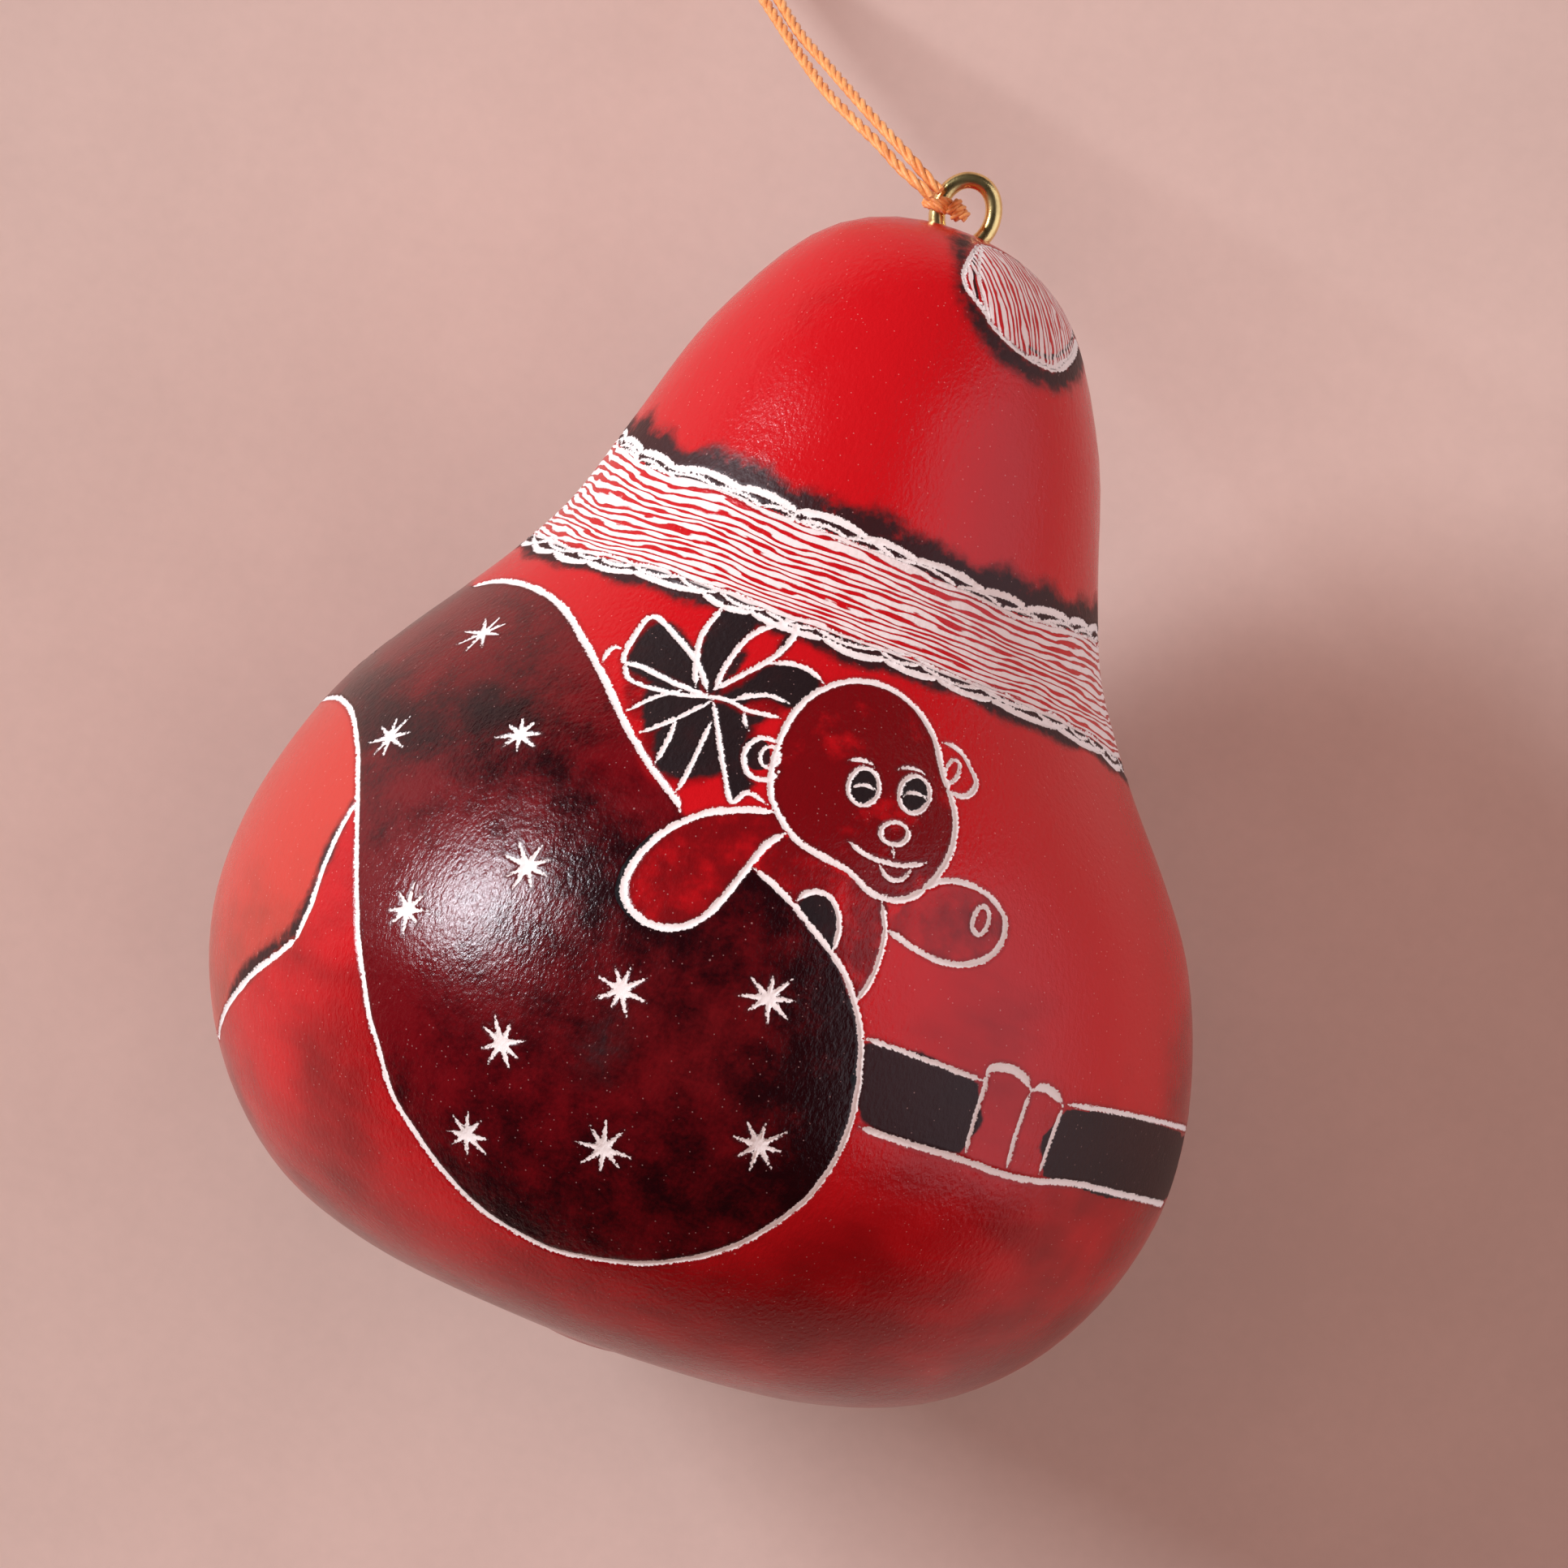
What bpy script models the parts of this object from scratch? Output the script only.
"""Painted gourd ornament: a small dried gourd lying on its side, with a brass screw eye in its
crown and a doubled hanging cord knotted round the eye.

Lengths are in metres. +Z is up, +Y runs along the gourd from its base to its crown, and the
origin is the middle of the small flat spot under the belly that the gourd rests on.
"""

import math

import bmesh
import bpy
from mathutils import Vector

# Gourd
GOURD_LENGTH = 0.0792
BELLY_WIDTH = 0.0674
REST_DEPTH = 0.0015
GOURD_SIDES = 56
RING_ANGLE = math.radians(5)

# Distance from the gourd's middle to its skin, every 10 degrees from the crown round to the
# base, as shares of the gourd's length
OUTLINE = (0.593, 0.573, 0.496, 0.416, 0.366, 0.348, 0.348, 0.362, 0.384, 0.406,
           0.430, 0.451, 0.463, 0.467, 0.460, 0.440, 0.418, 0.407, 0.407)
# A grown gourd is not quite round: it swells towards one shoulder, its base leans to +X and its
# crown to -X, and the side that it lay on while it grew is fuller towards the crown and slimmer
# towards the base
SHOULDER_RATIO = 0.03
BASE_LEAN = 0.019
CROWN_LEAN = 0.028
UNDERSIDE_RATIO = 0.16

# Engraved lines round the hat's fur band and round the belt, as distances from the crown. The
# belt shows from the sack's right side, round the back, to the arm, in degrees round the gourd
BAND_EDGES = (0.0217, 0.0297)
BELT_EDGES = (0.0523, 0.0576)
BELT_TURNS = (22, 52, 82, 112, 142, 172, 202, 232, 262)
LINE_WIDTH = 0.0007
LINE_DEPTH = 0.0003

# The drawing's main engraved outlines, as smooth lines through a few points. A point is two
# angles in degrees: from the crown, and round the gourd from its upper side, positive to +X
LOOPS = {
    "pompom": ((4, 27), (12, 8), (14, 14), (16, 25), (17, 46), (13, 81), (9, 80), (6, 74)),
    "toy_head": ((74, 0), (65, -1), (57, 4), (55, 14), (60, 22), (71, 26), (80, 23), (84, 18),
                 (81, 8)),
}
STROKES = {
    "sack": ((61, -86), (59, -49), (66, -30), (81, -10), (91, 10), (101, 18), (112, 19),
             (124, 13), (131, -2), (129, -22), (117, -35), (100, -47), (85, -64), (84, -86)),
    "sleeve": ((98, -53), (104, -51), (109, -53), (115, -61), (123, -78)),
    "toy_left_arm": ((79, 3), (82, -7), (90, -12), (94, -8), (93, -2), (81, 5)),
    "toy_right_arm": ((82, 21), (80, 28), (84, 33), (89, 29), (88, 18)),
}
STEPS_A_SPAN = 3

# Screw eye, bent from brass wire
WIRE = 0.00115
EYE_WIDTH = 0.0049
EYE_HEIGHT = 0.0058
EYE_SUNK = 0.0016
SHANK_LENGTH = 0.010
SHANK_WIDTH = 0.0010
SHANK_TIP = 0.0004
EYE_POINTS = 24

# Cord, and the gap that pieces keep where they touch
CORD = 0.0008
CORD_POINTS = 75
FIT_GAP = 0.0003
KNOT_LUMP = 0.0018
KNOT_SIDE = 0.00095

# The doubled cord's way, in mm: it leaves the knot over the eye's left side, droops to the
# table, turns back on itself in a loop that lies there, and comes back beside itself
CORD_ROUTE = (
    (-2.5, 53.48, 34), (-3.73, 54.07, 33.75), (-5.23, 54.84, 32.55), (-6.98, 56.03, 30.6),
    (-9.27, 57.42, 27.5), (-11.73, 59.07, 23.5), (-14.23, 61.28, 18.6), (-16.61, 63.53, 14.1),
    (-18.96, 65.79, 10), (-21.32, 68.17, 6.2), (-23.91, 70.81, 3), (-26.58, 73.79, 1.2),
    (-28.38, 77.59, 0.55), (-28.38, 81.78, 0.43), (-26.18, 85.28, 0.43), (-22.19, 87.38, 0.43),
    (-17.29, 87.78, 0.43), (-12.99, 87.08, 0.43), (-9.99, 85.78, 0.43), (-8.79, 83.78, 0.43),
    (-9.89, 81.88, 0.43), (-12.49, 81.38, 0.43), (-16.29, 82.88, 0.43), (-20.09, 83.88, 0.43),
    (-23.39, 82.58, 0.43), (-25.09, 79.58, 0.5), (-24.89, 76.19, 0.8), (-23.19, 72.99, 1.9),
    (-21.58, 70.16, 3.9), (-19.43, 67.68, 7.2), (-17.24, 65.4, 11.3), (-15, 63.21, 15.6),
    (-12.52, 61.32, 20), (-10.34, 59.64, 24.1), (-8.2, 58.05, 27.7), (-6.29, 56.74, 30.5),
    (-4.7, 55.7, 32.15), (-3.32, 54.79, 33.1), (-2.11, 54.07, 33.45),
)
MILLIMETRE = 0.001


def between(before, start, end, after, t):
    """A smooth curve's value a share t of the way from start to end."""
    bend = 2 * before - 5 * start + 4 * end - after
    twist = 3 * (start - end) + after - before
    return start + (end - before + (bend + twist * t) * t) * t * 0.5


def smooth_path(points, count, closed=False):
    """A number of points along a smooth curve through the given ones."""
    if closed:
        route = [points[-1], *points, points[0], points[1]]
    else:
        route = [2 * points[0] - points[1], *points, 2 * points[-1] - points[-2]]
    spans = len(route) - 3
    path = []
    for i in range(count):
        place = spans * i / (count if closed else count - 1)
        step = min(int(place), spans - 1)
        path.append(between(*route[step:step + 4], place - step))
    return path


def outline_share(polar):
    """The outline at an angle from the crown, smooth through both poles."""
    last = len(OUTLINE) - 1
    place = min(max(polar / math.pi, 0), 1) * last
    step = min(int(place), last - 1)
    shares = [OUTLINE[last - abs(last - abs(i))] for i in range(step - 1, step + 3)]
    return between(*shares, place - step)


def across_share():
    """The belly's half width for a share of 1 across."""
    angles = [math.pi * i / 720 for i in range(721)]
    return BELLY_WIDTH / 2 / max(outline_share(a) * math.sin(a) for a in angles)


ACROSS = across_share()


def skin_offset(direction, polar):
    """From the gourd's middle to its skin, along a direction of the ball that it is shaped from."""
    shoulder = SHOULDER_RATIO * direction.x * direction.z
    base = BASE_LEAN * (1 - direction.y) / 2
    crown = CROWN_LEAN * max(direction.y, 0) ** 3
    lain_on = UNDERSIDE_RATIO * direction.y * min(direction.z, 0) ** 2
    uneven = 1 + shoulder + direction.x * (base - crown) + lain_on
    share = outline_share(polar) * uneven
    return share * Vector((direction.x * ACROSS, direction.y * GOURD_LENGTH, direction.z * ACROSS))


def underside(polar):
    """The lowest line of the belly, at an angle from the crown."""
    return skin_offset(Vector((0, math.cos(polar), -math.sin(polar))), polar)


LOWEST = min((underside(math.pi * i / 720) for i in range(721)), key=lambda point: point.z)
MIDDLE = Vector((0, -LOWEST.y, -LOWEST.z - REST_DEPTH))
CROWN = MIDDLE + Vector((0, OUTLINE[0] * GOURD_LENGTH, 0))
EYE_CENTRE = CROWN + Vector((0, EYE_HEIGHT / 2 - EYE_SUNK, 0))


def polar_at(depth):
    """The angle from the crown of the ring that lies a depth behind it."""
    def ring_depth(polar):
        return (OUTLINE[0] - outline_share(polar) * math.cos(polar)) * GOURD_LENGTH

    low, high = 0.0, math.pi
    for _ in range(40):
        middle = (low + high) / 2
        if ring_depth(middle) < depth:
            low = middle
        else:
            high = middle
    return low


def ring_plan():
    """Each ring's angle from the crown, and how deep the engraver cut it."""
    lines = [polar_at(depth) for depth in BAND_EDGES]
    rings = []
    for angle in lines:
        half = LINE_WIDTH / 2 / (outline_share(angle) * GOURD_LENGTH)
        rings += [(angle - half, 0.0), (angle, LINE_DEPTH), (angle + half, 0.0)]
    count = round(math.pi / RING_ANGLE)
    for i in range(count + 1):
        angle = math.pi * i / count
        if all(abs(angle - line) > RING_ANGLE * 0.6 for line in lines):
            rings.append((angle, 0.0))
    return sorted(rings)


def material(name, colour, roughness, metallic=0.0):
    """A finish with one colour, given as a linear red, green and blue."""
    made = bpy.data.materials.new(name)
    made.use_nodes = True
    shader = made.node_tree.nodes["Principled BSDF"]
    shader.inputs["Base Color"].default_value = (*colour, 1)
    shader.inputs["Roughness"].default_value = roughness
    shader.inputs["Metallic"].default_value = metallic
    return made


def collection(name):
    made = bpy.data.collections.new(name)
    bpy.context.scene.collection.children.link(made)
    return made


def add_object(name, data, home, finish=None):
    made = bpy.data.objects.new(name, data)
    home.objects.link(made)
    if finish:
        data.materials.append(finish)
    return made


def add_cutter(name, mesh, home):
    """A shape that only cuts, kept out of renders."""
    cutter = add_object(name, mesh, home)
    cutter.hide_render = True
    cutter.display_type = "WIRE"
    return cutter


def boolean(target, tool, operation):
    modifier = target.modifiers.new(f"{operation.lower()} {tool.name}", "BOOLEAN")
    modifier.object = tool
    modifier.operation = operation
    modifier.solver = "EXACT"


def settled_mesh(source, name):
    """The evaluated mesh of an object, closed where its caps are loose, in place of the object."""
    graph = bpy.context.evaluated_depsgraph_get()
    mesh = bpy.data.meshes.new_from_object(source.evaluated_get(graph))
    mesh.name = name
    mesh.transform(source.matrix_world)
    shape = bmesh.new()
    shape.from_mesh(mesh)
    bmesh.ops.remove_doubles(shape, verts=shape.verts, dist=0.000001)
    shape.to_mesh(mesh)
    shape.free()
    bpy.data.objects.remove(source)
    return mesh


def tube_mesh(name, points, thickness, home, closed=False, bevel_resolution=2):
    """A round wire or cord through its points."""
    curve = bpy.data.curves.new(name, "CURVE")
    curve.dimensions = "3D"
    curve.bevel_depth = thickness / 2
    curve.bevel_resolution = bevel_resolution
    curve.use_fill_caps = not closed
    spline = curve.splines.new("POLY")
    spline.points.add(len(points) - 1)
    for spline_point, point in zip(spline.points, points):
        spline_point.co = (*point, 1)
    spline.use_cyclic_u = closed
    return settled_mesh(add_object(name, curve, home), name)


def turned_ball(home):
    """A ball of radius 1 turned from a half circle, with its crown at +Z."""
    profile = bmesh.new()
    corners = [profile.verts.new((math.sin(a), 0, math.cos(a))) for a, _ in ring_plan()]
    for corner, following in zip(corners, corners[1:]):
        profile.edges.new((corner, following))
    mesh = bpy.data.meshes.new("gourd profile")
    profile.to_mesh(mesh)
    profile.free()
    ball = add_object("gourd_profile", mesh, home)
    screw = ball.modifiers.new("turn", "SCREW")
    screw.steps = GOURD_SIDES
    screw.render_steps = GOURD_SIDES
    screw.use_merge_vertices = True
    screw.merge_threshold = 0.00001
    return settled_mesh(ball, "gourd")


def make_gourd(home, cutters, finish):
    """The dried gourd, solid, with engraved rings, a flat spot and the eye's socket."""
    mesh = turned_ball(home)
    cuts = dict(ring_plan())
    angles = sorted(cuts)
    for vertex in mesh.vertices:
        direction = Vector((vertex.co.x, vertex.co.z, -vertex.co.y)).normalized()
        polar = min(angles, key=lambda angle: abs(math.cos(angle) - direction.y))
        offset = skin_offset(direction, polar)
        vertex.co = MIDDLE + offset - offset.normalized() * cuts[polar]
    mesh.shade_smooth()
    gourd = add_object("gourd", mesh, home, finish)
    strokes = dict(STROKES)
    for name, depth in zip(("belt_top", "belt_bottom"), BELT_EDGES):
        strokes[name] = [(math.degrees(polar_at(depth)), turn) for turn in BELT_TURNS]
    for line_set, closed in ((LOOPS, True), (strokes, False)):
        for name, line in line_set.items():
            groove = engraved_mesh(name, line, closed, home)
            boolean(gourd, add_cutter(name, groove, cutters), "DIFFERENCE")

    table = bmesh.new()
    bmesh.ops.create_cube(table, size=1)
    bmesh.ops.scale(table, verts=table.verts, vec=(BELLY_WIDTH, GOURD_LENGTH, REST_DEPTH * 4))
    bmesh.ops.translate(table, verts=table.verts, vec=(0, 0, -REST_DEPTH * 2))
    table_mesh = bpy.data.meshes.new("rest spot cutter")
    table.to_mesh(table_mesh)
    table.free()
    boolean(gourd, add_cutter("rest_spot_cutter", table_mesh, cutters), "DIFFERENCE")
    socket = add_cutter("eye_socket", eye_ring_mesh("eye ring socket", FIT_GAP, home), cutters)
    shank = add_cutter("eye_shank_socket", eye_shank_mesh("eye shank socket", FIT_GAP), cutters)
    boolean(socket, shank, "UNION")
    boolean(gourd, socket, "DIFFERENCE")
    return gourd


def engraved_mesh(name, line, closed, home):
    """The round-bottomed groove of one engraved line, as a thin tube that lies in the skin."""
    radius = ((LINE_WIDTH / 2) ** 2 / LINE_DEPTH + LINE_DEPTH) / 2
    spans = len(line) if closed else len(line) - 1
    count = spans * STEPS_A_SPAN + (0 if closed else 1)
    points = []
    for angles in smooth_path([Vector(point) for point in line], count, closed):
        polar, turn = map(math.radians, angles)
        across = math.sin(polar)
        direction = Vector((across * math.sin(turn), math.cos(polar), across * math.cos(turn)))
        offset = skin_offset(direction, polar)
        points.append(MIDDLE + offset + offset.normalized() * (radius - LINE_DEPTH))
    return tube_mesh(name, points, 2 * radius, home, closed, bevel_resolution=1)


def eye_ring_mesh(name, gap, home):
    """The eye's oval of wire, thicker by a gap all round where it is a cutter."""
    half_width = (EYE_WIDTH - WIRE) / 2
    half_height = (EYE_HEIGHT - WIRE) / 2
    turns = [math.tau * i / EYE_POINTS for i in range(EYE_POINTS)]
    points = [EYE_CENTRE + Vector((half_width * math.cos(a), half_height * math.sin(a), 0))
              for a in turns]
    return tube_mesh(name, points, WIRE + 2 * gap, home, closed=True)


def eye_shank_mesh(name, gap):
    """The eye's shank, from the bottom of its oval down into the gourd, tapering to its tip."""
    top = EYE_CENTRE.y - (EYE_HEIGHT - WIRE) / 2
    length = SHANK_LENGTH + gap
    shank = bmesh.new()
    bmesh.ops.create_cone(shank, cap_ends=True, segments=10, radius1=SHANK_TIP / 2 + gap,
                          radius2=SHANK_WIDTH / 2 + gap, depth=length)
    mesh = bpy.data.meshes.new(name)
    for vertex in shank.verts:
        vertex.co = Vector((vertex.co.x, top - length / 2 + vertex.co.z, CROWN.z - vertex.co.y))
    shank.to_mesh(mesh)
    shank.free()
    return mesh


def make_screw_eye(home, cutters, finish):
    mesh = eye_ring_mesh("screw eye", 0, home)
    mesh.shade_smooth()
    eye = add_object("screw_eye", mesh, home, finish)
    boolean(eye, add_cutter("eye_shank", eye_shank_mesh("eye shank", 0), cutters), "UNION")
    return eye


def make_cord_knot(home, cutters, finish):
    """One turn of cord round the eye's left side, and the knot's lump over it."""
    side = EYE_CENTRE - Vector(((EYE_WIDTH - WIRE) / 2, 0, 0))
    turn = WIRE / 2 + FIT_GAP + CORD / 2
    bpy.ops.mesh.primitive_torus_add(major_segments=20, minor_segments=8, major_radius=turn,
                                     minor_radius=CORD / 2, location=side,
                                     rotation=(math.pi / 2, 0, 0))
    mesh = settled_mesh(bpy.context.object, "cord knot")
    mesh.shade_smooth()
    knot = add_object("cord_knot", mesh, home, finish)

    reach = WIRE / 2 + FIT_GAP + KNOT_LUMP / 2
    lift = math.sqrt(reach ** 2 - KNOT_SIDE ** 2)
    lump = bmesh.new()
    bmesh.ops.create_uvsphere(lump, u_segments=16, v_segments=10, radius=KNOT_LUMP / 2)
    bmesh.ops.translate(lump, verts=lump.verts, vec=side + Vector((KNOT_SIDE, 0, lift)))
    lump_mesh = bpy.data.meshes.new("knot lump")
    lump.to_mesh(lump_mesh)
    lump.free()
    boolean(knot, add_cutter("knot_lump", lump_mesh, cutters), "UNION")
    return knot


def make_hanging_cord(home, finish):
    """The cord, doubled, on one smooth curve through its route."""
    route = [Vector(point) * MILLIMETRE for point in CORD_ROUTE]
    mesh = tube_mesh("hanging cord", smooth_path(route, CORD_POINTS), CORD, home)
    mesh.shade_smooth()
    return add_object("hanging_cord", mesh, home, finish)


def main():
    for old in list(bpy.data.objects):
        bpy.data.objects.remove(old)
    ornament = collection("gourd ornament")
    cutters = collection("cutters")
    make_gourd(ornament, cutters, material("dyed gourd", (0.45, 0.02, 0.02), 0.4))
    make_screw_eye(ornament, cutters, material("brass", (0.70, 0.52, 0.22), 0.2, metallic=1.0))
    cord = material("twisted cord", (0.78, 0.35, 0.10), 0.7)
    make_cord_knot(ornament, cutters, cord)
    make_hanging_cord(ornament, cord)


main()
